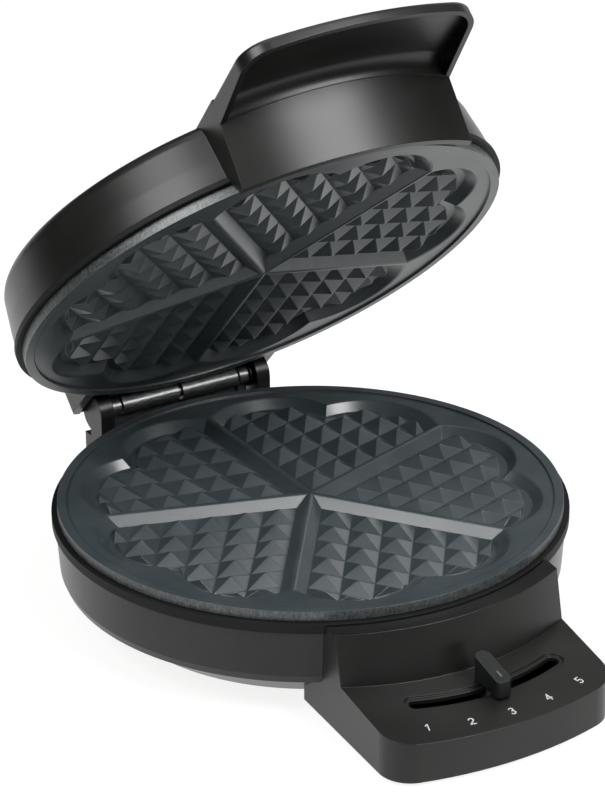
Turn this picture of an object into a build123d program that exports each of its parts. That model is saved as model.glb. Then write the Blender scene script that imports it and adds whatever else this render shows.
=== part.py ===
from build123d import *
import math
import os

# Waffle maker with five heart-shaped cavities, all sizes in millimetres.
# The plates' common axis is built at x = 0, y = 0, and z = 0 is the table top.
# +Y points to the hinge at the back, -Y to the control block at the front.
# The lid is built closed and then turned open about the hinge pin.

# ---- driving dimensions -------------------------------------------------
PLATE_Y = 11.1           # where the plates' axis lies in the finished frame
PLATE_Z = 44.0           # mating rim of the lower plate above the table
PLATE_GAP = 1.3          # gap between the two rims when the lid is closed
LID_OPEN = 46.2          # opening angle of the lid as built, degrees
HINGE_Y = 104.2
HINGE_Z = 45.05

PLATE_R = 96.0           # rim of both cast plates
BAND = 3.7               # height of the plate's visible side band
PLATE_DEPTH = 15.0
SKIRT_R = 92.5           # the plate's hidden part, inside the housing
LIP_WIDTH = 3.6
LAND_DEPTH = 0.8         # land inside the lip, below the rim
CAVITY_DEPTH = 4.6       # cavity floor below the rim
HEARTS = 5
CUSP_R = 78.5            # where neighbouring hearts meet at the outside
NOTCH_R = 79.5           # notch of each heart
LOBE_R = 88.0            # outermost point of each lobe
RIDGE = 1.5              # ridge between two hearts, at the land
EDGE_ROUND = 0.35        # half width of the bevel along a cavity's upper edge
EDGE_DROP = 0.3
PYRAMID = 3.45           # height of the pyramids
PITCH = 12.6             # pyramid spacing along each side of a heart
FIELD_START = 5.0        # first row, measured along the heart's sides from the axis
VALLEY = 0.3             # flat strip between two pyramids
FIELD_MARGIN = 6.8       # pyramids end this far inside the heart's round outline
POCKET = 5.2             # depth of the pockets cast into the plate's underside

RING_R = 98.2            # black trim rings between plate and housing
WALL = 2.4               # moulded wall thickness
BOWL_R = 97.0
BOWL_TOP = 36.4
BOWL_OPENING = 75.0      # opening closed by the bottom cover
COVER_Z = 2.2
COVER = 1.8
FLANGE_R = 84.0          # inner edge of the flanges that carry the plates

BLOCK_SIDE_Y = -98.5     # the front block's two half widths are given here
BLOCK_LEFT = 47.4
BLOCK_RIGHT = 47.3
LEFT_FLARE = 0.073       # growth of the left half per mm towards the front
RIGHT_FLARE = -0.1       # the right side leans inwards
BLOCK_FRONT_R = 144.6
BLOCK_FRONT_X = -2.0     # centre of the round front
LEFT_CORNER = 12.0
RIGHT_CORNER = 15.0
BLOCK_BOTTOM = 1.4
LEDGE_Z = 39.4
RISER_TOP_R = 105.3
RISER_FOOT_R = 109.3
RISER_FOOT_Z = 21.0
DECK_SLOPE = 6.0         # degrees, falling towards the front
DECK_Y = -98.4           # the deck plane passes RISER_FOOT_Z here

LEVER_Y = -33.2          # thermostat axis
LEVER_R = 89.9           # slot centreline radius about that axis
SLOT = 4.8
SLOT_HALF_ANGLE = 18.9
LEVER_Z = 11.0
STEP_ANGLE = 8.8         # between two neighbouring digits
MIDDLE_ANGLE = -0.9      # direction of the middle digit
DIGIT_R = 104.7
DIGIT_H = 3.3
DIGIT_STROKE = 0.5
PRINT = 0.15             # thickness of the printed digits
KNOB_BACK = (-114.3, 29.2)   # y and height of the knob's top, back end
KNOB_FRONT = (-130.9, 24.8)  # the same at its front end
KNOB_WIDTH = 6.2

LID_Z = 51.3             # lower edge of the lid shell when closed
LID_TOP = 77.5
PANEL_Z = 42.3           # lower edge of the lid's front panel
PANEL_R = 104.7
HOOD_Z = 67.6            # lower edge of the handle at its root
HOOD_FRONT_Z = 71.5      # lower edge of the handle at its lip
HOOD_ROOT_R = 108.6
HOOD_TOP = 75.4
HOOD_LIP = 2.3

TOWER = (33.0, 39.0)     # hinge towers of the base, between these x
TOWER_R = 8.0
EAR = (40.4, 44.5)       # ears of the lid, between these x
PIN_R = 2.5
BLIND_END = 37.6         # the pin's bore ends here in the left tower
PIN_BORE = 1.6
FIT = 0.05               # radial clearance of the knuckles on the pin
KNUCKLE_R = 3.9
LONG_KNUCKLE = (0.9, 26.5)
SHORT_KNUCKLE = (27.4, 31.4)
REAR_TOP = 30.0          # top of the base's rear block
REAR_Y = 111.0

TUBE_R = 3.3             # tubular heating element
ELEMENT_R = 58.0
SCREW_ANGLES = (35, 145, 215, 325)
SCREW_PITCH_R = 88.0
TAB_X = 30.0             # snap tabs of the handle
TAB_HALF = 4.0
TAB_Z = (69.0, 71.6)
TAB_END = -99.2
LEAF_SCREW_X = 16.0
LEAF_SCREW_Z = 61.0
HINGE_SCREW_X = 15.0
HINGE_SCREW_Y = HINGE_Y - 2.6
CORD_X = -18.0
CORD_Z = 19.0
LAMP_Y = -64.0
FEET = ((-46, 52), (46, 52), (-34, -120), (34, -120))
COVER_SCREWS = ((-62, 0), (62, 0), (0, 66), (0, -126))

PLATE_BOTTOM = PLATE_Z - PLATE_DEPTH
UPPER_BACK = PLATE_Z + PLATE_GAP + PLATE_DEPTH
LEAF_Y = HINGE_Y - KNUCKLE_R

HINGE = Axis((0, HINGE_Y, HINGE_Z), (1, 0, 0))


# ---- small helpers ------------------------------------------------------
def cyl(radius, height, x=0.0, y=0.0, z=0.0):
    """Upright cylinder standing on z."""
    return Pos(x, y, z) * Cylinder(radius, height, align=(Align.CENTER, Align.CENTER, Align.MIN))


def rod_x(radius, x0, x1, y, z):
    """Cylinder along X between x0 and x1."""
    return Pos((x0 + x1) / 2, y, z) * Rot(0, 90, 0) * Cylinder(radius, abs(x1 - x0))


def rod_y(radius, y0, y1, x, z):
    """Cylinder along Y between y0 and y1."""
    return Pos(x, (y0 + y1) / 2, z) * Rot(90, 0, 0) * Cylinder(radius, abs(y1 - y0))


def block(x0, x1, y0, y1, z0, z1):
    """Box given by its limits."""
    size = Box(x1 - x0, y1 - y0, z1 - z0)
    return Pos((x0 + x1) / 2, (y0 + y1) / 2, (z0 + z1) / 2) * size


def ring(outer, inner, z0, z1):
    """Flat ring about the plates' axis."""
    return cyl(outer, z1 - z0, z=z0) - cyl(inner, z1 - z0, z=z0)


def turned(points):
    """Solid of revolution from (radius, z) points."""
    profile = make_face(Plane.XZ * Polyline(*points, close=True))
    return revolve(profile, Axis.Z)


def polar(radius, angle):
    return radius * math.cos(math.radians(angle)), radius * math.sin(math.radians(angle))


def lid_pose(part):
    """Turns a piece of the closed lid into the open position."""
    return part.rotate(HINGE, -LID_OPEN)


def wire(points, radius):
    """Round wire through points, with ball corners."""
    body = None
    for start, end in zip(points, points[1:]):
        run = Vector(*end) - Vector(*start)
        piece = Plane(origin=start, z_dir=run) * Cylinder(
            radius, run.length, align=(Align.CENTER, Align.CENTER, Align.MIN))
        body = piece if body is None else body + piece
        if end != points[-1]:
            body += Pos(*end) * Sphere(radius)
    return body


def screw(head_r, head_h, shank_r, shank_len):
    """Cross-head screw, head on +Z, shank down from z = 0."""
    head = cyl(head_r, head_h)
    slots = Box(head_r * 1.2, 0.9, 0.8) + Box(0.9, head_r * 1.2, 0.8)
    head -= Pos(0, 0, head_h - 0.4) * slots
    return head + cyl(shank_r, shank_len, z=-shank_len)


# ---- baking plates ------------------------------------------------------
def heart_face(grow, z, half_ridge=RIDGE / 2):
    """Heart outline grown by grow, at height z, tip near the centre, axis along +X."""
    half = 180.0 / HEARTS
    gap = half_ridge - grow
    cusp_r = CUSP_R + grow
    tip = (gap / math.sin(math.radians(half)), 0.0)
    cusp = polar(cusp_r, half - math.degrees(math.asin(gap / cusp_r)))
    lobe = polar(LOBE_R + grow, half / 2)
    notch = (NOTCH_R + grow, 0.0)
    low_cusp = (cusp[0], -cusp[1])
    low_lobe = (lobe[0], -lobe[1])
    edges = [Line(tip, cusp), ThreePointArc(cusp, lobe, notch)]
    edges += [ThreePointArc(notch, low_lobe, low_cusp), Line(low_cusp, tip)]
    return Pos(0, 0, z) * make_face(edges)


def cavity():
    """One heart cavity: bevelled upper edge, then walls at 45 degrees."""
    knee = -LAND_DEPTH - EDGE_DROP
    wall = CAVITY_DEPTH - LAND_DEPTH - EDGE_DROP
    above = heart_face(EDGE_ROUND, 0.0)
    land = heart_face(EDGE_ROUND, -LAND_DEPTH)
    edge = heart_face(-EDGE_ROUND, knee)
    foot = heart_face(-EDGE_ROUND - wall, -CAVITY_DEPTH)
    return loft([above, land], ruled=True) + loft([land, edge], ruled=True) + loft([edge, foot], ruled=True)


def pyramid_field():
    """Rhombic pyramids in rows parallel to the heart's two straight sides."""
    half = math.radians(180.0 / HEARTS)
    side = Vector(math.cos(half), math.sin(half))
    other = Vector(math.cos(half), -math.sin(half))
    size = (PITCH - VALLEY) / 2
    inner = FIELD_MARGIN + 1.0
    low = heart_face(-FIELD_MARGIN, 0.0, -FIELD_MARGIN)
    high = heart_face(-inner, PYRAMID + 0.5, -inner)
    limit = loft([low, high], ruled=True)
    tip = 0.5
    smallest = 4.0
    pieces = []
    for i in range(7):
        for j in range(7):
            centre = side * (FIELD_START + PITCH * (i + 0.5)) + other * (FIELD_START + PITCH * (j + 0.5))
            corners = [centre + side * (a * size) + other * (b * size)
                       for a, b in ((1, 1), (1, -1), (-1, -1), (-1, 1))]
            if min(c.length for c in corners) > LOBE_R - FIELD_MARGIN:
                continue
            base = make_face(Polyline(*[(c.X, c.Y) for c in corners], close=True))
            top = Pos(centre.X, centre.Y, PYRAMID) * Rectangle(tip, tip)
            for part in (loft([base, top]) & limit).solids():
                if part.volume > smallest:
                    pieces.append(Pos(0, 0, -CAVITY_DEPTH) * part)
    return pieces


def underside_pockets():
    """Ring and disc cast out below the cavities, beside the element's rib."""
    rib_in, rib_out = ELEMENT_R - 9.0, ELEMENT_R + 9.0
    boss_r = 28.0
    outer = ring(83.0, rib_out, -PLATE_DEPTH, POCKET - PLATE_DEPTH)
    inner = cyl(rib_in, POCKET, z=-PLATE_DEPTH) - cyl(boss_r, POCKET, 0, LEVER_Y, -PLATE_DEPTH)
    return [outer, inner]


def baking_plate():
    """Cast plate, cavities up, its rim at z = 0 and its axis on Z."""
    plate = cyl(PLATE_R, BAND, z=-BAND) + cyl(SKIRT_R, PLATE_DEPTH, z=-PLATE_DEPTH)
    plate -= cyl(PLATE_R - LIP_WIDTH, LAND_DEPTH, z=-LAND_DEPTH)
    heart = cavity()
    pyramids = pyramid_field()
    turns = [Rot(0, 0, -90 + k * 360.0 / HEARTS) for k in range(HEARTS)]
    plate = plate - [turn * heart for turn in turns]
    plate = plate + [turn * p for turn in turns for p in pyramids]
    plate = plate - underside_pockets()
    for angle in SCREW_ANGLES:
        x, y = polar(SCREW_PITCH_R, angle)
        plate -= cyl(1.55, 8, x, y, -PLATE_DEPTH)
    return plate


# ---- base ---------------------------------------------------------------
def plan(y_back):
    """Plan outline of the front blocks: leaning sides and a round front."""
    y_front = -BLOCK_FRONT_R - 5

    def corners(y):
        run = BLOCK_SIDE_Y - y
        return (-BLOCK_LEFT - LEFT_FLARE * run, y), (BLOCK_RIGHT + RIGHT_FLARE * run, y)

    back_left, back_right = corners(y_back)
    front_left, front_right = corners(y_front)
    sides = make_face(Polyline(back_left, front_left, front_right, back_right, close=True))
    face = sides & Pos(BLOCK_FRONT_X, 0) * Circle(BLOCK_FRONT_R)
    face = fillet(face.vertices().sort_by_distance(front_left)[0], LEFT_CORNER)
    return fillet(face.vertices().sort_by_distance(front_right)[0], RIGHT_CORNER)


def below_deck(drop):
    """Large solid below the deck plane, lowered by drop."""
    slab = Pos(0, 0, -60) * Box(300, 300, 120)
    return Pos(0, DECK_Y, RISER_FOOT_Z - drop) * Rot(DECK_SLOPE, 0, 0) * slab


def riser_cone(inset):
    """Cone of the riser above the deck, moved inwards by inset."""
    slope = (RISER_FOOT_R - RISER_TOP_R) / (LEDGE_Z - RISER_FOOT_Z)
    foot = RISER_FOOT_R + slope * RISER_FOOT_Z - inset
    top = RISER_TOP_R - inset
    return turned([(0, 0), (foot, 0), (top, LEDGE_Z), (0, LEDGE_Z)])


def front_block(inset):
    """Control block: deck and riser, as a solid shrunk by inset."""
    outline = plan(-70.0 if inset == 0 else -54.0)
    if inset > 0:
        outline = offset(outline, amount=-inset)
    bottom = BLOCK_BOTTOM if inset == 0 else 0.0
    tall = extrude(Pos(0, 0, bottom) * outline, amount=LEDGE_Z - inset - bottom)
    deck = tall & below_deck(inset)
    riser = tall & riser_cone(inset)
    body = deck + riser
    ledge_start = RING_R + 0.4 + inset
    height = 20.0
    level = BOWL_TOP if inset == 0 else 29.0
    return body - cyl(ledge_start, height, z=level)


def arc_slot(radius, width, half_angle, z0, z1):
    """Curved slot about the thermostat axis, with round ends."""
    y = LEVER_Y
    start = polar(radius, -90 - half_angle)
    end = polar(radius, -90 + half_angle)
    path = ThreePointArc((start[0], start[1] + y), (0, y - radius), (end[0], end[1] + y))
    face = trace(path, width)
    for x0, y0 in (start, end):
        face += Pos(x0, y0 + y) * Circle(width / 2)
    return extrude(Pos(0, 0, z0) * face, amount=z1 - z0)


def bowl_solid(inset):
    """Bowl of the base housing, shrunk by inset."""
    points = [(0, COVER_Z), (BOWL_OPENING + 2.5, COVER_Z), (90.5, 12.6), (94.6, 14.8),
              (95.8, 17.8), (BOWL_R, BOWL_TOP), (0, BOWL_TOP)]
    if inset == 0:
        return turned(points)
    inner = [(0, 0), (BOWL_OPENING, 0), (BOWL_OPENING, 5.2), (89.6, 15.4), (92.4, 16.8),
             (93.4, 18.6), (BOWL_R - inset, BOWL_TOP + 1), (0, BOWL_TOP + 1)]
    return turned(inner)


def tower(bore_end):
    """Hinge tower of the base: a round top, and a column stepped back for the open lid."""
    x0, x1 = TOWER
    low = 26.0
    step = HINGE_Z - 10.8
    front, back, neck = HINGE_Y - TOWER_R, HINGE_Y + TOWER_R - 1.5, HINGE_Y + 1.6
    profile = Polyline((front, HINGE_Z), (front, low), (back, low), (back, step),
                       (neck, step), (neck, HINGE_Z), close=True)
    face = make_face(Plane.YZ * profile)
    body = Pos(x0, 0, 0) * extrude(face, amount=x1 - x0, dir=(1, 0, 0))
    body += rod_x(TOWER_R, x0, x1, HINGE_Y, HINGE_Z)
    body += rod_x(5.0, SHORT_KNUCKLE[1] + 0.2, x0, HINGE_Y, HINGE_Z)
    return body - rod_x(PIN_R + FIT, SHORT_KNUCKLE[1], bore_end, HINGE_Y, HINGE_Z)


def rear_block():
    """Rear block of the base: carries the hinge and the cord inlet."""
    x1 = TOWER[1]
    outer = block(-x1, x1, 70, REAR_Y, 8.0, REAR_TOP)
    edges = outer.edges().filter_by(Axis.Z).group_by(Axis.Y)[-1]
    outer = fillet(edges, 5.0)
    outer = chamfer(outer.edges().group_by(Axis.Z)[0].filter_by(Axis.X).sort_by(Axis.Y)[-1], 3.0)
    return outer


def base_housing():
    outer = bowl_solid(0) + front_block(0) + rear_block()
    x1 = TOWER[1] - WALL
    hollow = bowl_solid(WALL) + front_block(WALL)
    hollow += block(-x1, x1, 66, REAR_Y - WALL, 8.0 + WALL, REAR_TOP - WALL)
    body = outer - hollow
    body += ring(BOWL_R - 1.2, FLANGE_R, PLATE_BOTTOM - WALL, PLATE_BOTTOM)
    body = body + tower(TOWER[1]) + mirror(tower(BLIND_END), Plane.YZ)
    for angle in SCREW_ANGLES:
        x, y = polar(SCREW_PITCH_R, angle)
        body -= cyl(1.7, 6, x, y, PLATE_BOTTOM - 4)
    body -= arc_slot(LEVER_R, SLOT, SLOT_HALF_ANGLE, 8, 26)
    body -= slot_bevel()
    body -= rod_y(5.1, REAR_Y - 6, REAR_Y + 2, CORD_X, CORD_Z)
    for x in (-HINGE_SCREW_X, HINGE_SCREW_X):
        body -= cyl(1.6, 6, x, HINGE_SCREW_Y, REAR_TOP - 4)
    return body


def slot_bevel():
    """Shallow sloping surround of the slot, following the deck."""
    face = arc_slot(LEVER_R, SLOT + 3.2, SLOT_HALF_ANGLE, 0, 40)
    above = Pos(0, 0, 60) * Box(300, 300, 120)
    floor = Pos(0, DECK_Y, RISER_FOOT_Z - 0.7) * Rot(DECK_SLOPE, 0, 0) * above
    return face & floor


def cord_grommet():
    """Bush in the rear wall where the supply cord enters."""
    sleeve = rod_y(5.0, REAR_Y - 5.0, REAR_Y, CORD_X, CORD_Z)
    sleeve += rod_y(7.2, REAR_Y, REAR_Y + 2.2, CORD_X, CORD_Z)
    sleeve += rod_y(6.4, REAR_Y - 5.0, REAR_Y - WALL - 0.1, CORD_X, CORD_Z)
    return sleeve - rod_y(3.3, REAR_Y - 8, REAR_Y + 4, CORD_X, CORD_Z)


def bottom_cover():
    """Flat cover under the bowl and the front block."""
    disc = cyl(BOWL_OPENING - 0.3, COVER, z=COVER_Z)
    outline = offset(plan(-50.0), amount=-(WALL + 0.3))
    cover = disc + extrude(Pos(0, 0, COVER_Z) * outline, amount=COVER)
    for k in range(-3, 4):
        cover -= Pos(k * 9.0, -2, COVER_Z) * Box(2.4, 34, 8)
    for x, y in COVER_SCREWS:
        cover -= cyl(1.7, 8, x, y, 0)
    for x, y in FEET:
        cover -= cyl(3.0, 8, x, y, 0)
    return cover


def rubber_feet():
    """Four feet, each with a plug pressed into the cover."""
    feet = []
    for x, y in FEET:
        foot = cyl(8.0, COVER_Z, x, y, 0)
        foot = chamfer(foot.edges().group_by(Axis.Z)[0], 0.7)
        feet.append(foot + cyl(2.9, COVER + 0.8, x, y, COVER_Z))
    return feet


def cover_screws():
    """Screws that hold the cover, heads below."""
    return [Pos(x, y, COVER_Z) * Rot(180, 0, 0) * screw(3.0, 1.5, 1.5, 6.0) for x, y in COVER_SCREWS]


def plate_screws(z_head, up):
    """Screws through the housing flange into the plate."""
    pieces = []
    for angle in SCREW_ANGLES:
        x, y = polar(SCREW_PITCH_R, angle)
        one = screw(2.8, 1.8, 1.5, 9.5)
        if up:
            one = Rot(180, 0, 0) * one
        pieces.append(Pos(x, y, z_head) * one)
    return pieces


def reflector():
    """Sheet pan under the element, its flange at z = 0 and its floor below."""
    pan = ring(91.0, 81.2, -0.8, 0) + ring(82.0, 81.2, -6.6, 0) + cyl(82.0, 0.8, z=-6.6)
    for angle in SCREW_ANGLES:
        x, y = polar(SCREW_PITCH_R, angle)
        pan -= cyl(1.7, 4, x, y, -2)
    for side in (-1, 1):
        x, y = polar(ELEMENT_R, 90 + side * 20)
        pan -= cyl(TUBE_R + 0.8, 4, x, y, -8)
    return pan


def heating_element(drop):
    """Tubular loop under the plate face at z = 0, ends turned down by drop."""
    z = -TUBE_R - 0.1
    gap = 20.0
    first = polar(ELEMENT_R, 90 + gap)
    last = polar(ELEMENT_R, 90 - gap)
    path = Pos(0, 0, z) * ThreePointArc(first, (0, -ELEMENT_R), last)
    start = Plane(origin=path @ 0, z_dir=path % 0)
    loop = sweep(start * Circle(TUBE_R), path=path)
    for x, y in (first, last):
        loop += Pos(x, y, z) * Sphere(TUBE_R)
        loop += cyl(TUBE_R, drop + z, x, y, -drop)
        loop += cyl(1.1, 4.0, x, y, -drop - 4.0)
    return loop


# ---- control ------------------------------------------------------------
def thermostat_body():
    """Snap-disc thermostat pressed to the plate, bush pointing down."""
    body = cyl(10.0, 5.6, 0, LEVER_Y, PLATE_BOTTOM - 5.7)
    body += cyl(4.6, 3.4, 0, LEVER_Y, PLATE_BOTTOM - 9.1)
    return body - cyl(2.6, 6.0, 0, LEVER_Y, PLATE_BOTTOM - 9.6)


def thermostat_bracket():
    """Strap that presses the thermostat against the plate."""
    z = PLATE_BOTTOM - 7.0
    strap = block(-24, 24, LEVER_Y - 6.5, LEVER_Y + 6.5, z, z + 1.2)
    for x in (-24, 20):
        strap += block(x, x + 4, LEVER_Y - 6.5, LEVER_Y + 6.5, z, PLATE_BOTTOM)
    return strap - cyl(4.8, 4.0, 0, LEVER_Y, z - 1)


def thermostat_spindle():
    """Shaft of the regulator, turned by the lever."""
    return cyl(2.5, 8.6, 0, LEVER_Y, LEVER_Z + 2.0 + 3.0) + cyl(2.0, 5.2, 0, LEVER_Y, LEVER_Z - 0.2)


def deck_height(y):
    return RISER_FOOT_Z - math.tan(math.radians(DECK_SLOPE)) * (DECK_Y - y)


def control_lever():
    """Arm from the spindle to the slot, with the stem that carries the knob."""
    tip_y = LEVER_Y - LEVER_R
    arm = cyl(6.0, 5.0, 0, LEVER_Y, LEVER_Z)
    arm += block(-4.0, 4.0, tip_y + 2.0, LEVER_Y, LEVER_Z, LEVER_Z + 1.8)
    arm += cyl(4.0, 1.8, 0, tip_y + 2.0, LEVER_Z)
    stem_top = deck_height(tip_y) + 4.0
    arm += block(-1.6, 1.6, tip_y - 1.5, tip_y + 1.5, LEVER_Z, stem_top)
    return arm - cyl(2.05, 8.0, 0, LEVER_Y, LEVER_Z - 1)


def slider_knob():
    """Narrow finger knob above the slot, higher at the back."""
    lift = 0.9
    y_back, y_front = KNOB_BACK[0], KNOB_FRONT[0]
    profile = Polyline((y_back, deck_height(y_back) + lift), (y_front, deck_height(y_front) + lift),
                       KNOB_FRONT, KNOB_BACK, close=True)
    side = extrude(make_face(Plane.YZ * profile), amount=KNOB_WIDTH, dir=(1, 0, 0))
    body = Pos(-KNOB_WIDTH / 2, 0, 0) * side
    upright = body.edges().filter_by(Axis.Z)
    body = fillet(upright.group_by(Axis.Y)[-1], KNOB_WIDTH / 2 - 0.2)
    body = fillet(body.edges().filter_by(Axis.Z).group_by(Axis.Y)[0], 1.6)
    tip_y = LEVER_Y - LEVER_R
    stem_top = deck_height(tip_y) + 4.0
    return body - block(-1.6, 1.6, tip_y - 1.5, tip_y + 1.5, 10, stem_top)


def knob_marker():
    """Pointer line let into the knob's sloping top."""
    rise = (KNOB_BACK[1] - KNOB_FRONT[1]) / (KNOB_BACK[0] - KNOB_FRONT[0])
    y = -127.0
    z = KNOB_FRONT[1] + (y - KNOB_FRONT[0]) * rise
    return Pos(0, y, z + PRINT) * Rot(math.degrees(math.atan(rise)), 0, 0) * Box(0.9, 3.2, 0.28)


def arc_points(centre, radius, start, end, count=7):
    """Points on an arc between two angles in degrees."""
    steps = [start + (end - start) * k / (count - 1) for k in range(count)]
    return [(centre[0] + polar(radius, a)[0], centre[1] + polar(radius, a)[1]) for a in steps]


def digit_strokes(digit):
    """Strokes of a digit in a box one unit wide and 1.6 units high."""
    if digit == 1:
        return [[(0.2, 1.25), (0.6, 1.6), (0.6, 0.0)]]
    if digit == 2:
        return [arc_points((0.5, 1.15), 0.42, 170, -35) + [(0.05, 0.0), (1.0, 0.0)]]
    if digit == 3:
        top = arc_points((0.45, 1.2), 0.38, 150, -90)
        return [top + arc_points((0.45, 0.4), 0.42, 90, -150)]
    if digit == 4:
        return [[(0.7, 0.0), (0.7, 1.6), (0.0, 0.5), (1.0, 0.5)]]
    return [[(0.9, 1.6), (0.2, 1.6), (0.15, 0.9)] + arc_points((0.45, 0.5), 0.46, 115, -145)]


def stroke_face(points, width):
    """Flat rounded stroke through points."""
    face = Pos(*points[0]) * Circle(width / 2)
    for start, end in zip(points, points[1:]):
        dx, dy = end[0] - start[0], end[1] - start[1]
        middle = Pos((start[0] + end[0]) / 2, (start[1] + end[1]) / 2)
        bar = middle * Rot(0, 0, math.degrees(math.atan2(dy, dx))) * Rectangle(math.hypot(dx, dy), width)
        face = face + bar + Pos(*end) * Circle(width / 2)
    return face


def scale_digits():
    """Printed digits, as thin raised strokes on the deck."""
    unit = DIGIT_H / 1.6
    digits = []
    for k in range(5):
        angle = MIDDLE_ANGLE + (k - 2) * STEP_ANGLE
        x, y = polar(DIGIT_R, -90 + angle)
        face = None
        for points in digit_strokes(k + 1):
            sized = [(unit * px, unit * py) for px, py in points]
            stroke = stroke_face(sized, DIGIT_STROKE)
            face = stroke if face is None else face + stroke
        flat = Rot(0, 0, angle) * Pos(-unit / 2, -DIGIT_H / 2) * face
        place = Pos(0, DECK_Y, RISER_FOOT_Z) * Rot(DECK_SLOPE, 0, 0) * Pos(x, y + LEVER_Y - DECK_Y, 0)
        digits.append(place * extrude(flat, amount=PRINT, dir=(0, 0, 1)))
    return digits


# ---- parts inside the base ----------------------------------------------
def terminal_block():
    body = block(14, 44, 28, 44, COVER_Z + COVER, 15)
    for x in (19, 29, 39):
        body -= cyl(2.4, 3, x, 32, 12.5)
        body -= cyl(2.4, 3, x, 40, 12.5)
    return body


def thermal_fuse():
    z = 19.2
    body = rod_x(2.6, -38, -24, 20, z - 2.7)
    return body + rod_x(0.6, -44, -18, 20, z - 2.7)


def earth_terminal():
    """Earth tag and its screw under the reflector."""
    z = 19.9
    tag = cyl(4.0, 0.8, -30, 55, z - 0.8) + block(-31.8, -28.2, 55, 66, z - 0.8, z)
    return tag + cyl(2.6, 1.6, -30, 55, z - 2.4)


def base_leads():
    """Insulated leads from the terminal block to the element's ends."""
    x, y = polar(ELEMENT_R, 70)
    right = wire([(19, 40, 13.7), (19, 40, 17.6), (19, 47, 17.6), (x, y, 9.0)], 1.1)
    left = wire([(12.8, 36, 9.0), (-x, 42, 9.0), (-x, y, 9.0)], 1.1)
    return [right, left]


# ---- hinge --------------------------------------------------------------
def knuckle(x0, x1):
    return rod_x(KNUCKLE_R, x0, x1, HINGE_Y, HINGE_Z) - rod_x(PIN_R + FIT, x0, x1, HINGE_Y, HINGE_Z)


def base_hinge_bracket():
    """Bent strip on the rear block: an upright under the barrels, a short knuckle at each end."""
    x0, x1 = SHORT_KNUCKLE
    body = block(-x1, x1, 98.6, 109.4, REAR_TOP, REAR_TOP + 1.6)
    body += block(-x1, x1, HINGE_Y + 0.4, HINGE_Y + 1.8, REAR_TOP, HINGE_Z - KNUCKLE_R - 0.6)
    bore = rod_x(PIN_R + FIT, -x1, x1, HINGE_Y, HINGE_Z)
    for side in (-1, 1):
        low, high = sorted((side * x0, side * x1))
        web = block(low, high, HINGE_Y - 1.4, HINGE_Y + 1.4, REAR_TOP, HINGE_Z)
        body += (web + rod_x(KNUCKLE_R, low, high, HINGE_Y, HINGE_Z)) - bore
    for x in (-HINGE_SCREW_X, HINGE_SCREW_X):
        body -= cyl(1.6, 6, x, HINGE_SCREW_Y, REAR_TOP - 2)
    return body


def base_hinge_screws():
    return [Pos(x, HINGE_SCREW_Y, REAR_TOP + 1.6) * screw(2.8, 1.6, 1.5, 5.0) for x in (-HINGE_SCREW_X, HINGE_SCREW_X)]


def lid_hinge_bracket():
    """Leaf of the lid with two long knuckles, built closed."""
    x0, x1 = LONG_KNUCKLE
    body = block(-x1, x1, LEAF_Y, LEAF_Y + 1.6, HINGE_Z + 7, 66.0)
    bore = rod_x(PIN_R + FIT, -x1, x1, HINGE_Y, HINGE_Z)
    for side in (-1, 1):
        low, high = sorted((side * x0, side * x1))
        web = block(low, high, LEAF_Y, LEAF_Y + 1.6, HINGE_Z, HINGE_Z + 8)
        body += (web + rod_x(KNUCKLE_R, low, high, HINGE_Y, HINGE_Z)) - bore
    for x in (-LEAF_SCREW_X, LEAF_SCREW_X):
        body -= rod_y(1.6, LEAF_Y - 1, LEAF_Y + 3, x, LEAF_SCREW_Z)
    return body


def lid_hinge_screws():
    return [Pos(x, LEAF_Y, LEAF_SCREW_Z) * Rot(90, 0, 0) * screw(2.8, 1.6, 1.5, 7.0) for x in (-LEAF_SCREW_X, LEAF_SCREW_X)]


def hinge_pin():
    """Hollow pin, pushed in from the right."""
    left, right = 0.2 - BLIND_END, TOWER[1] + 0.9
    return rod_x(PIN_R, left, right, HINGE_Y, HINGE_Z) - rod_x(PIN_BORE, left, right, HINGE_Y, HINGE_Z)


def pin_clip():
    """Retaining ring outside the right tower."""
    x0 = TOWER[1] + 0.05
    return rod_x(4.0, x0, x0 + 0.6, HINGE_Y, HINGE_Z) - rod_x(PIN_R, x0, x0 + 0.6, HINGE_Y, HINGE_Z)


def lid_lead():
    """Heat-proof lead of the lid's element, through the hollow pin."""
    return rod_x(PIN_BORE - 0.3, 0.4 - BLIND_END, TOWER[1] + 0.7, HINGE_Y, HINGE_Z)


# ---- lid, built closed --------------------------------------------------
def lid_dome(inset):
    """Shell of the lid as a solid, shrunk by inset."""
    foot = BOWL_R + 0.4 - inset
    top = LID_TOP - inset
    bottom = LID_Z if inset == 0 else LID_Z - 4
    shoulder = Line((foot - 1.0, 60.0), (94.9 - inset, 70.0))
    corner = ThreePointArc((94.9 - inset, 70.0), (93.2 - inset, 73.8 - inset), (88.6 - inset, 75.6 - inset))
    crown = ThreePointArc((88.6 - inset, 75.6 - inset), (46.0, top - 0.5), (0, top))
    rest = Polyline((0, top), (0, bottom), (foot, bottom), (foot - 1.0, 60.0))
    return revolve(make_face(Plane.XZ * (shoulder + corner + crown + rest)), Axis.Z)


def panel_cone(inset, z_low, z_high):
    """Cone of the lid's front panel, wider at the top."""
    slope = (HOOD_ROOT_R - PANEL_R) / (68.0 - PANEL_Z)
    low = PANEL_R + slope * (z_low - PANEL_Z) - inset
    high = PANEL_R + slope * (z_high - PANEL_Z) - inset
    return turned([(0, z_low), (low, z_low), (high, z_high), (0, z_high)])


def lid_front(inset):
    """Front block of the lid behind the panel, as a solid shrunk by inset."""
    outline = plan(-70.0 if inset == 0 else -66.0)
    if inset > 0:
        outline = offset(outline, amount=-inset)
    z0 = PANEL_Z if inset == 0 else 50.4
    z1 = HOOD_TOP - inset
    return extrude(Pos(0, 0, z0) * outline, amount=z1 - z0) & panel_cone(inset, z0, z1)


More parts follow.
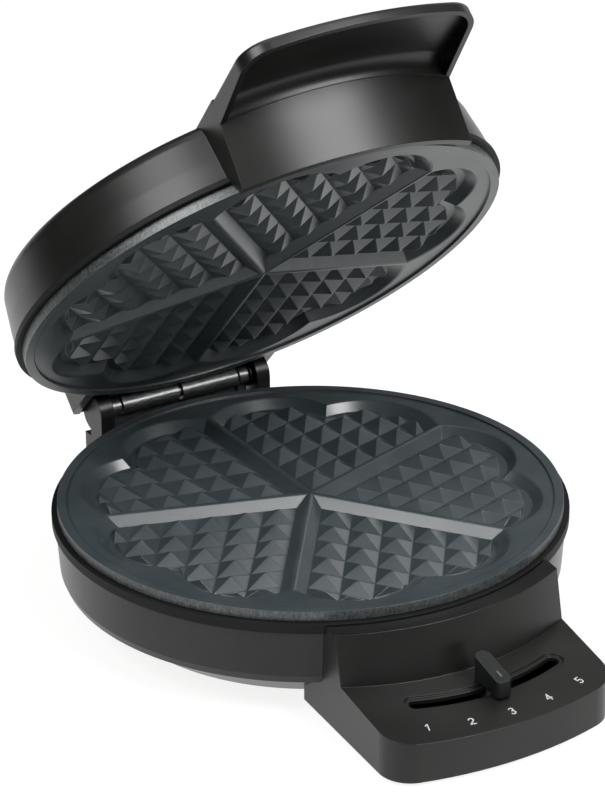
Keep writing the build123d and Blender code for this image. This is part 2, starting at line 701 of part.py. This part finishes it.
def lid_rear(inset):
    """Rear block of the lid over the hinge."""
    half = EAR[1] - inset
    z0 = 48.5 + inset
    y1 = 112.5 - inset
    z1 = 70.0 - inset
    profile = make_face(Plane.YZ * Polyline((66, z0), (y1, z0), (y1, z1 - 8), (y1 - 8, z1), (66, z1), close=True))
    body = Pos(-half, 0, 0) * extrude(profile, amount=2 * half, dir=(1, 0, 0))
    return body if inset > 0 else fillet(body.edges().filter_by(Axis.Z).group_by(Axis.Y)[-1], 4.0)


def lid_housing():
    pocket = ring(PANEL_R - WALL - 0.6, 60, PANEL_Z - 1, 48.0)
    outer = lid_dome(0) + lid_front(0) + lid_rear(0)
    hollow = lid_dome(WALL) + lid_front(WALL) + block(-38, 38, 66, 108.6, 53.5, 59.0)
    body = outer - hollow
    body -= pocket
    body -= cyl(RING_R + 0.4, LID_Z - 30, z=30)
    body += ring(BOWL_R - 1.6, FLANGE_R, UPPER_BACK, UPPER_BACK + WALL)
    recess = EAR[0]
    body -= rod_x(TOWER_R + 1.2, -recess, recess, HINGE_Y, HINGE_Z)
    body -= block(-recess, recess, HINGE_Y - TOWER_R - 1.2, 113, 40, HINGE_Z + 0.1)
    body -= block(-LONG_KNUCKLE[1] - 0.2, LONG_KNUCKLE[1] + 0.2, LEAF_Y - 3.0, LEAF_Y + 1.6, 40, 66.1)
    for x in (-LEAF_SCREW_X, LEAF_SCREW_X):
        body -= rod_y(1.6, LEAF_Y, LEAF_Y + 8, x, LEAF_SCREW_Z)
    for angle in SCREW_ANGLES:
        x, y = polar(SCREW_PITCH_R, angle)
        body -= cyl(1.7, 4, x, y, UPPER_BACK - 0.5)
    for x in (-TAB_X, TAB_X):
        body -= block(x - TAB_HALF - 0.3, x + TAB_HALF + 0.3, -112, -98, TAB_Z[0] - 0.3, TAB_Z[1] + 0.3)
    body -= cyl(4.1, 12, 0, LAMP_Y, 68)
    return body


def pilot_lens():
    """Round lens in the lid's top."""
    top = 76.6
    lens = cyl(4.0, 4.2, 0, LAMP_Y, top - 3.6)
    lens += cyl(5.4, 0.9, 0, LAMP_Y, top + 0.3)
    return fillet(lens.edges().group_by(Axis.Z)[-1], 0.4)


def pilot_lamp():
    return cyl(2.2, 2.6, 0, LAMP_Y, 70.3)


def hood_root(ceiling):
    """Solid behind the handle's hollow: it follows the panel, then curves into the ceiling."""
    lean = math.atan2(HOOD_ROOT_R - PANEL_R, 68.0 - PANEL_Z)
    last = math.radians(80.0)
    radius = (ceiling - HOOD_Z) / (math.sin(last) - math.sin(lean))
    start = (HOOD_ROOT_R + 0.3, HOOD_Z)
    centre = (start[0] + radius * math.cos(lean), HOOD_Z - radius * math.sin(lean))

    def at(tangent):
        return centre[0] - radius * math.cos(tangent), centre[1] + radius * math.sin(tangent)

    curve = ThreePointArc(start, at((lean + last) / 2), at(last))
    rest = Polyline(at(last), (0, ceiling), (0, 50), (HOOD_ROOT_R - 0.5, 50), start)
    return revolve(make_face(Plane.XZ * (curve + rest)), Axis.Z)


def handle_hood():
    """Hollow visor-shaped handle in front of the panel."""
    outline = plan(-70.0)
    body = extrude(Pos(0, 0, 60) * outline, amount=HOOD_TOP - 60)
    rise = math.degrees(math.atan2(HOOD_FRONT_Z - HOOD_Z, BLOCK_FRONT_R - HOOD_ROOT_R))
    slab = Pos(0, 0, -30) * Box(300, 300, 60)
    body -= Pos(0, -HOOD_ROOT_R, HOOD_Z) * Rot(-rise, 0, 0) * slab
    body -= panel_cone(0, 60, HOOD_TOP)
    top_edge = body.edges().group_by(Axis.Z)[-1].sort_by(Axis.Y)[:3]
    body = fillet(top_edge, 1.6)
    inner = offset(outline, amount=-HOOD_LIP)
    ceiling = HOOD_TOP - 2.2
    hollow = extrude(Pos(0, 0, 55) * inner, amount=ceiling - 55)
    body -= hollow - hood_root(ceiling)
    inside = panel_cone(-0.4, 60, HOOD_TOP)
    for x in (-TAB_X, TAB_X):
        tab = block(x - TAB_HALF, x + TAB_HALF, -108, TAB_END, *TAB_Z)
        body += tab & inside
        body += block(x - TAB_HALF, x + TAB_HALF, TAB_END - 1.3, TAB_END, TAB_Z[1], TAB_Z[1] + 1.0)
    return body


# ---- nodes --------------------------------------------------------------
def lower(part):
    """Moves a plate-side piece built at z = 0 to the lower plate."""
    return Pos(0, 0, PLATE_Z) * part


def upper(part):
    """Turns a plate-side piece built at z = 0 over, into the closed lid."""
    return Pos(0, 0, PLATE_Z + PLATE_GAP) * Rot(0, 180, 0) * part


def solids(item):
    """Flat list of the solids of a piece or of a group of pieces."""
    pieces = item if isinstance(item, (list, tuple)) else [item]
    found = []
    for piece in pieces:
        found += piece.solids()
    return found


def save(name, item, in_lid=False):
    """Writes one node as parts/NAME.step in the finished frame."""
    shapes = solids(item)
    if in_lid:
        shapes = [lid_pose(s) for s in shapes]
    shapes = [Pos(0, PLATE_Y, 0) * s for s in shapes]
    shape = shapes[0] if len(shapes) == 1 else Compound(children=shapes)
    export_step(shape, os.path.join("parts", name + ".step"))


def main():
    os.makedirs("parts", exist_ok=True)
    plate = baking_plate()
    pan = reflector()
    under = Pos(0, 0, PLATE_BOTTOM)
    over = Pos(0, 0, UPPER_BACK)
    lower_pan = Pos(0, 0, PLATE_BOTTOM - WALL) * (pan - cyl(6.0, 6, 0, LEVER_Y, -9))

    save("base_housing", base_housing())
    save("bottom_cover", bottom_cover())
    save("rubber_feet", rubber_feet())
    save("cover_screws", cover_screws())
    save("lower_trim_ring", ring(RING_R, SKIRT_R + 0.5, BOWL_TOP, PLATE_Z - BAND - 0.3))
    save("lower_plate", lower(plate))
    save("lower_heating_element", under * heating_element(13.0))
    save("lower_reflector", lower_pan)
    save("lower_plate_screws", plate_screws(PLATE_BOTTOM - WALL - 0.8, True))
    save("thermostat_body", thermostat_body())
    save("thermostat_bracket", thermostat_bracket())
    save("thermostat_spindle", thermostat_spindle())
    save("control_lever", control_lever())
    save("slider_knob", slider_knob())
    save("knob_marker", knob_marker())
    save("scale_digits", scale_digits())
    save("terminal_block", terminal_block())
    save("thermal_fuse", thermal_fuse())
    save("earth_terminal", earth_terminal())
    save("base_leads", base_leads())
    save("cord_grommet", cord_grommet())
    save("base_hinge_bracket", base_hinge_bracket())
    save("base_hinge_screws", base_hinge_screws())
    save("hinge_pin", hinge_pin())
    save("pin_clip", pin_clip())
    save("lid_lead", lid_lead())
    save("lid_hinge_bracket", lid_hinge_bracket(), in_lid=True)
    save("lid_hinge_screws", lid_hinge_screws(), in_lid=True)
    save("lid_housing", lid_housing(), in_lid=True)
    save("handle_hood", handle_hood(), in_lid=True)
    save("upper_trim_ring", ring(RING_R, SKIRT_R + 0.5, PLATE_Z + PLATE_GAP + BAND + 0.3, LID_Z), in_lid=True)
    save("upper_plate", upper(plate), in_lid=True)
    save("upper_heating_element", over * Rot(0, 180, 0) * heating_element(8.0), in_lid=True)
    save("upper_reflector", over * Pos(0, 0, WALL) * Rot(0, 180, 0) * pan, in_lid=True)
    save("upper_plate_screws", plate_screws(UPPER_BACK + WALL + 0.8, False), in_lid=True)
    save("pilot_lens", pilot_lens(), in_lid=True)
    save("pilot_lamp", pilot_lamp(), in_lid=True)


main()
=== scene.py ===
import math

import bpy
from mathutils import Matrix, Vector

# A waffle maker, open, on a white table. Lengths are in metres, in the part's own frame:
# the table is at z = 0, the handle and the heat control are at the front (-Y), the hinge is at the back.

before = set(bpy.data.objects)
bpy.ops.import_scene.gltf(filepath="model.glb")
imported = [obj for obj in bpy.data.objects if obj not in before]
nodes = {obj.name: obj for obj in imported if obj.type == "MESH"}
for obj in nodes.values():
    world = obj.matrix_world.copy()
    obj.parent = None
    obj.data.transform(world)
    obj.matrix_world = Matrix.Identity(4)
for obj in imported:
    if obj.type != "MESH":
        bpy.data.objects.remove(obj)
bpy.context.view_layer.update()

MM = 0.001
HINGE_Y, HINGE_Z = 0.1153, 0.04505   # the hinge pin's axis, which runs along X
LID_OPEN = 46.2                      # degrees, at rest
PLATE_AXIS_Y = 0.0111                # both plates' axis, when the lid is shut
PLATE_RIM_R = 0.0957                 # only a plate's turned side band lies further out

# ---- camera --------------------------------------------------------------
CAMERA_AIM = Vector((0.0409, 0.0847, 0.0430))
CAMERA_AZIMUTH = -30.905             # degrees, 0 looks along +Y
CAMERA_ELEVATION = 24.685            # degrees above level
CAMERA_ROLL = -0.434                 # degrees
CAMERA_DISTANCE = 1.2175
CAMERA_SENSOR = 36.0                 # mm, along the picture's long side
CAMERA_LENS = 135.3                  # mm
CAMERA_CLIP = (0.05, 50.0)


def from_direction(azimuth, elevation):
    """Unit vector towards an azimuth and elevation, as seen from the object."""
    a, e = math.radians(azimuth), math.radians(elevation)
    return Vector((math.sin(a) * math.cos(e), -math.cos(a) * math.cos(e), math.sin(e)))


def add_camera():
    data = bpy.data.cameras.new("camera")
    data.lens = CAMERA_LENS
    data.sensor_width = CAMERA_SENSOR
    data.clip_start, data.clip_end = CAMERA_CLIP
    camera = bpy.data.objects.new("camera", data)
    back = from_direction(CAMERA_AZIMUTH, CAMERA_ELEVATION)
    facing = (-back).to_track_quat("-Z", "Y")
    roll = Matrix.Rotation(math.radians(CAMERA_ROLL), 3, "Z").to_quaternion()
    camera.rotation_mode = "QUATERNION"
    camera.rotation_quaternion = facing @ roll
    camera.location = CAMERA_AIM + back * CAMERA_DISTANCE
    bpy.context.scene.collection.objects.link(camera)
    bpy.context.scene.camera = camera


# ---- material helper -----------------------------------------------------
class Finish:
    """One node-based material on a Principled shader, in the part's own coordinates."""

    def __init__(self, name, colour, roughness, metallic=0.0, specular=0.5):
        self.material = bpy.data.materials.new(name)
        self.material.use_nodes = True
        self.tree = self.material.node_tree
        self.tree.nodes.clear()
        self.shader = self.add("ShaderNodeBsdfPrincipled")
        self.shader.inputs["Base Color"].default_value = (*colour, 1)
        self.shader.inputs["Roughness"].default_value = roughness
        self.shader.inputs["Metallic"].default_value = metallic
        self.shader.inputs["Specular IOR Level"].default_value = specular
        out = self.add("ShaderNodeOutputMaterial")
        self.link(self.shader.outputs[0], out.inputs["Surface"])
        self.place = self.add("ShaderNodeTexCoord").outputs["Object"]
        self.normal = None

    def add(self, kind, **settings):
        node = self.tree.nodes.new(kind)
        for key, value in settings.items():
            setattr(node, key, value)
        return node

    def link(self, output, socket):
        self.tree.links.new(output, socket)

    def stretched(self, scale, turn=(0, 0, 0)):
        """Coordinates turned and then scaled along their axes."""
        node = self.add("ShaderNodeMapping")
        node.inputs["Rotation"].default_value = turn
        node.inputs["Scale"].default_value = scale
        self.link(self.place, node.inputs["Vector"])
        return node.outputs[0]

    def noise(self, size, detail, place=None, distortion=0.0):
        """Noise whose features are about size metres across."""
        node = self.add("ShaderNodeTexNoise")
        node.inputs["Scale"].default_value = 1.0 / size
        node.inputs["Detail"].default_value = detail
        node.inputs["Distortion"].default_value = distortion
        self.link(place or self.place, node.inputs["Vector"])
        return node.outputs["Fac"]

    def ranged(self, value, low, high, start=0.3, end=0.7, interpolation="LINEAR"):
        """Maps value from start..end to low..high."""
        node = self.add("ShaderNodeMapRange", interpolation_type=interpolation)
        node.inputs["From Min"].default_value = start
        node.inputs["From Max"].default_value = end
        node.inputs["To Min"].default_value = low
        node.inputs["To Max"].default_value = high
        self.link(value, node.inputs["Value"])
        return node.outputs[0]

    def maths(self, operation, first, second):
        node = self.add("ShaderNodeMath", operation=operation)
        for socket, value in zip(node.inputs, (first, second)):
            if isinstance(value, (int, float)):
                socket.default_value = value
            else:
                self.link(value, socket)
        return node.outputs[0]

    def blend(self, first, second, share):
        """Mixes two values, with the given share of the first."""
        first_part = self.maths("MULTIPLY", first, share)
        return self.maths("ADD", first_part, self.maths("MULTIPLY", second, 1 - share))

    def colours(self, value, low, high, start=0.35, end=0.65):
        """Base colour from low to high, as value goes from start to end."""
        node = self.add("ShaderNodeValToRGB")
        first, last = node.color_ramp.elements
        first.position, first.color = start, (*low, 1)
        last.position, last.color = end, (*high, 1)
        self.link(value, node.inputs[0])
        self.link(node.outputs[0], self.shader.inputs["Base Color"])

    def roughness(self, value, low, high):
        self.link(self.ranged(value, low, high), self.shader.inputs["Roughness"])

    def edges(self, radius):
        """Rounds the look of sharp edges by radius metres."""
        node = self.add("ShaderNodeBevel", samples=6)
        node.inputs["Radius"].default_value = radius
        self.normal = node.outputs[0]
        self.link(self.normal, self.shader.inputs["Normal"])

    def bump(self, height, depth):
        """Raises the surface by height times depth metres."""
        node = self.add("ShaderNodeBump")
        node.inputs["Strength"].default_value = 1.0
        node.inputs["Distance"].default_value = depth
        self.link(height, node.inputs["Height"])
        if self.normal is not None:
            self.link(self.normal, node.inputs["Normal"])
        self.normal = node.outputs[0]
        self.link(self.normal, self.shader.inputs["Normal"])


def grey(level):
    return (level, level, level)


# ---- lights and floor ----------------------------------------------------
SOFTBOX_AIM = Vector((0, 0, 0.1))
SOFTBOXES = (
    # name, azimuth, elevation, distance, width, height, watts
    ("key_right", 24, 46, 1.5, 0.8, 0.9, 30),
    ("key_left", -84, 44, 1.5, 0.8, 0.7, 19),
    ("overhead", 170, 78, 1.6, 1.4, 1.4, 11),
    ("rear_right", 118, 22, 1.8, 0.7, 1.0, 3),
)
# Room light by the sine of the height above the horizon: dim low down, brighter overhead.
ROOM_LIGHT = ((0.25, (0.012, 0.012, 0.012, 1)), (0.9, (0.26, 0.26, 0.256, 1)))

FLOOR_HALF = 4.0
FLOOR_COLOUR = grey(0.16)
FLOOR_ROUGHNESS = 0.16
FLOOR_SPECULAR = 0.35
FLOOR_GLOW = 0.86                    # keeps the table evenly white
FLOOR_GLOW_COLOUR = (1.0, 1.0, 0.995, 1)
FLOOR_FADES = (
    # axis, where the glow ends, where it is full
    ("X", -0.55, -0.33),
    ("Y", -0.42, -0.24),
)


def add_softbox(name, azimuth, elevation, distance, width, height, watts):
    data = bpy.data.lights.new(name, "AREA")
    data.shape = "RECTANGLE"
    data.size = width
    data.size_y = height
    data.energy = watts
    light = bpy.data.objects.new(name, data)
    towards = from_direction(azimuth, elevation)
    light.location = SOFTBOX_AIM + towards * distance
    light.rotation_mode = "QUATERNION"
    light.rotation_quaternion = (-towards).to_track_quat("-Z", "Y")
    light.visible_camera = False
    bpy.context.scene.collection.objects.link(light)


def add_world():
    world = bpy.data.worlds.new("studio")
    world.use_nodes = True
    tree = world.node_tree
    tree.nodes.clear()
    place = tree.nodes.new("ShaderNodeTexCoord")
    split = tree.nodes.new("ShaderNodeSeparateXYZ")
    ramp = tree.nodes.new("ShaderNodeValToRGB")
    shade = tree.nodes.new("ShaderNodeBackground")
    out = tree.nodes.new("ShaderNodeOutputWorld")
    tree.links.new(place.outputs["Generated"], split.inputs[0])
    tree.links.new(split.outputs["Z"], ramp.inputs[0])
    for element, (position, colour) in zip(ramp.color_ramp.elements, ROOM_LIGHT):
        element.position = position
        element.color = colour
    tree.links.new(ramp.outputs[0], shade.inputs["Color"])
    tree.links.new(shade.outputs[0], out.inputs["Surface"])
    bpy.context.scene.world = world


def floor_finish():
    """White that glows around the object and fades to the front and left."""
    finish = Finish("floor_white", FLOOR_COLOUR, FLOOR_ROUGHNESS, specular=FLOOR_SPECULAR)
    finish.shader.inputs["Emission Color"].default_value = FLOOR_GLOW_COLOUR
    split = finish.add("ShaderNodeSeparateXYZ")
    finish.link(finish.place, split.inputs[0])
    glow = FLOOR_GLOW
    for axis, dark, bright in FLOOR_FADES:
        fade = finish.ranged(split.outputs[axis], 0.0, 1.0, dark, bright, "SMOOTHSTEP")
        glow = finish.maths("MULTIPLY", fade, glow)
    finish.link(glow, finish.shader.inputs["Emission Strength"])
    return finish


def add_floor():
    mesh = bpy.data.meshes.new("floor")
    corners = [(x * FLOOR_HALF, y * FLOOR_HALF, 0) for x, y in ((-1, -1), (1, -1), (1, 1), (-1, 1))]
    mesh.from_pydata(corners, [], [(0, 1, 2, 3)])
    floor = bpy.data.objects.new("floor", mesh)
    bpy.context.scene.collection.objects.link(floor)
    floor.data.materials.append(floor_finish().material)


add_camera()
add_world()
add_floor()
for box_values in SOFTBOXES:
    add_softbox(*box_values)
bpy.context.scene.view_settings.view_transform = "Standard"


# ---- kinds of material ---------------------------------------------------
def moulded_plastic(name, low, high, rough, specular=0.35):
    """Satin moulded plastic with a fine spark-eroded grain."""
    finish = Finish(name, high, rough, specular=specular)
    cloud = finish.noise(28 * MM, 3)
    grain = finish.noise(0.35 * MM, 2)
    finish.colours(cloud, low, high)
    finish.roughness(finish.blend(cloud, grain, 0.6), rough - 0.03, rough + 0.04)
    finish.edges(0.45 * MM)
    finish.bump(grain, 0.006 * MM)
    return finish


def nonstick_cast(name, low, high):
    """Die-cast aluminium under a dark non-stick coat."""
    finish = Finish(name, high, 0.34, specular=0.75)
    cloud = finish.noise(22 * MM, 3)
    speckle = finish.noise(0.5 * MM, 3)
    finish.colours(finish.blend(cloud, speckle, 0.5), low, high)
    finish.roughness(cloud, 0.30, 0.38)
    finish.edges(0.5 * MM)
    finish.bump(speckle, 0.012 * MM)
    return finish


def machined_band(name, low, high):
    """Plate edge, turned and then coated thinly: slanting tool strokes show."""
    finish = Finish(name, high, 0.38, metallic=0.6)
    slant = finish.stretched((1.6, 1.6, 0.5), turn=(0.6, 0.5, 0.3))
    stroke = finish.noise(1.0 * MM, 4, slant, distortion=1.2)
    finish.colours(stroke, low, high)
    finish.roughness(stroke, 0.3, 0.5)
    finish.bump(stroke, 0.05 * MM)
    return finish


def metal(name, low, high, rough, metallic=1.0, grain=(1, 1, 1), size=0.6 * MM):
    """Plain metal, or drawn metal whose fine lines run along the axis of the smallest grain."""
    finish = Finish(name, high, rough, metallic)
    line = finish.noise(size, 4, finish.stretched(grain))
    finish.colours(line, low, high)
    finish.roughness(line, rough - 0.06, rough + 0.08)
    finish.edges(0.2 * MM)
    finish.bump(line, 0.01 * MM)
    return finish


def mottled(name, low, high, rough, size=1.5 * MM, depth=0.02 * MM):
    """Ceramic, rubber, sleeve or printing ink with a soft mottled surface."""
    finish = Finish(name, high, rough)
    spots = finish.noise(size, 3)
    finish.colours(spots, low, high)
    finish.roughness(spots, rough - 0.05, rough + 0.05)
    finish.bump(spots, depth)
    return finish


def printing(name, low, high):
    """Thin ink, almost flat."""
    return mottled(name, low, high, 0.5, 0.8 * MM, 0.004 * MM)


def tinted_glass(name, colour, rough, transmission):
    """Clear glass or plastic, a little uneven in tint."""
    finish = Finish(name, colour, rough)
    finish.shader.inputs["Transmission Weight"].default_value = transmission
    rays = finish.noise(1.2 * MM, 1)
    finish.colours(rays, [channel * 0.8 for channel in colour], colour)
    finish.roughness(rays, rough, rough + 0.06)
    finish.bump(rays, 0.03 * MM)
    return finish


# ---- the pieces' finishes ------------------------------------------------
def assign(finish, slot, *names):
    for name in names:
        piece = nodes[name]
        piece.data.materials.clear()
        piece.data.materials.append(finish.material)


def from_plate_axis(point, in_lid):
    """Point with the plates' axis as origin, the lid turned shut."""
    y, z = point.y - HINGE_Y, point.z - HINGE_Z
    if in_lid:
        turn = math.radians(LID_OPEN)
        y, z = y * math.cos(turn) - z * math.sin(turn), y * math.sin(turn) + z * math.cos(turn)
    return Vector((point.x, y + HINGE_Y - PLATE_AXIS_Y, z + HINGE_Z))


def finish_side_band(piece, finish, in_lid):
    """Gives the plate's turned side band its own material."""
    piece.data.materials.append(finish.material)
    band_slot = len(piece.data.materials) - 1
    vertices = piece.data.vertices
    for polygon in piece.data.polygons:
        corners = [from_plate_axis(piece.matrix_world @ vertices[i].co, in_lid) for i in polygon.vertices]
        if min(math.hypot(corner.x, corner.y) for corner in corners) > PLATE_RIM_R:
            polygon.material_index = band_slot


def finish_plastics():
    housing = moulded_plastic("housing_plastic", (0.0060, 0.0063, 0.0056), (0.0090, 0.0093, 0.0084), 0.32)
    assign(housing, "housing_black", "base_housing", "lid_housing", "handle_hood", "bottom_cover")
    knob = moulded_plastic("knob_plastic", (0.005, 0.0055, 0.006), (0.008, 0.0085, 0.009), 0.42)
    assign(knob, "knob_black", "slider_knob")
    ring = moulded_plastic("ring_plastic", grey(0.003), grey(0.005), 0.6, specular=0.2)
    assign(ring, "ring_black", "lower_trim_ring", "upper_trim_ring", "cord_grommet")
    assign(mottled("foot_rubber", grey(0.012), grey(0.025), 0.75), "rubber", "rubber_feet")


def finish_plates():
    cast = nonstick_cast("nonstick_coat", (0.020, 0.027, 0.030), (0.034, 0.044, 0.048))
    assign(cast, "nonstick_cast", "lower_plate", "upper_plate")
    band = machined_band("machined_band", (0.035, 0.042, 0.042), (0.13, 0.14, 0.14))
    finish_side_band(nodes["lower_plate"], band, in_lid=False)
    finish_side_band(nodes["upper_plate"], band, in_lid=True)


def finish_metals():
    hinge = metal("hinge_metal", (0.11, 0.112, 0.115), (0.19, 0.192, 0.195), 0.33, 0.85, grain=(0.15, 1, 1))
    assign(hinge, "hinge_steel", "base_hinge_bracket", "lid_hinge_bracket", "hinge_pin", "pin_clip")
    zinc = metal("zinc_plate", (0.35, 0.35, 0.36), grey(0.5), 0.35)
    assign(zinc, "zinc_screws", "cover_screws", "lower_plate_screws", "upper_plate_screws",
           "base_hinge_screws", "lid_hinge_screws", "earth_terminal")
    sheath = metal("tube_sheath", (0.18, 0.17, 0.16), (0.3, 0.28, 0.26), 0.45, size=3 * MM)
    assign(sheath, "element_sheath", "lower_heating_element", "upper_heating_element")
    sheet = metal("reflector_sheet", (0.5, 0.5, 0.52), (0.68, 0.68, 0.7), 0.3, grain=(0.1, 1, 1))
    assign(sheet, "reflector_sheet", "lower_reflector", "upper_reflector")
    steel = metal("plain_steel", grey(0.3), grey(0.45), 0.4)
    assign(steel, "plain_steel", "thermostat_bracket", "thermostat_spindle", "control_lever", "thermal_fuse")


def finish_small_pieces():
    ceramic = mottled("steatite", (0.62, 0.58, 0.5), (0.72, 0.69, 0.62), 0.35)
    assign(ceramic, "ceramic", "thermostat_body", "terminal_block")
    sleeve = mottled("glass_sleeve", (0.4, 0.38, 0.33), (0.6, 0.58, 0.5), 0.7, 0.6 * MM)
    assign(sleeve, "lead_sleeve", "base_leads", "lid_lead")
    scale_ink = printing("scale_print", (0.30, 0.31, 0.31), (0.40, 0.41, 0.41))
    assign(scale_ink, "print_white", "scale_digits")
    marker_ink = printing("marker_print", (0.045, 0.046, 0.048), (0.07, 0.071, 0.073))
    assign(marker_ink, "print_white", "knob_marker")
    assign(tinted_glass("lens_red_plastic", (0.55, 0.03, 0.02), 0.12, 0.6), "lens_red", "pilot_lens")
    assign(tinted_glass("lamp_glass", (0.9, 0.75, 0.6), 0.05, 0.8), "lamp_glass", "pilot_lamp")


finish_plastics()
finish_plates()
finish_metals()
finish_small_pieces()
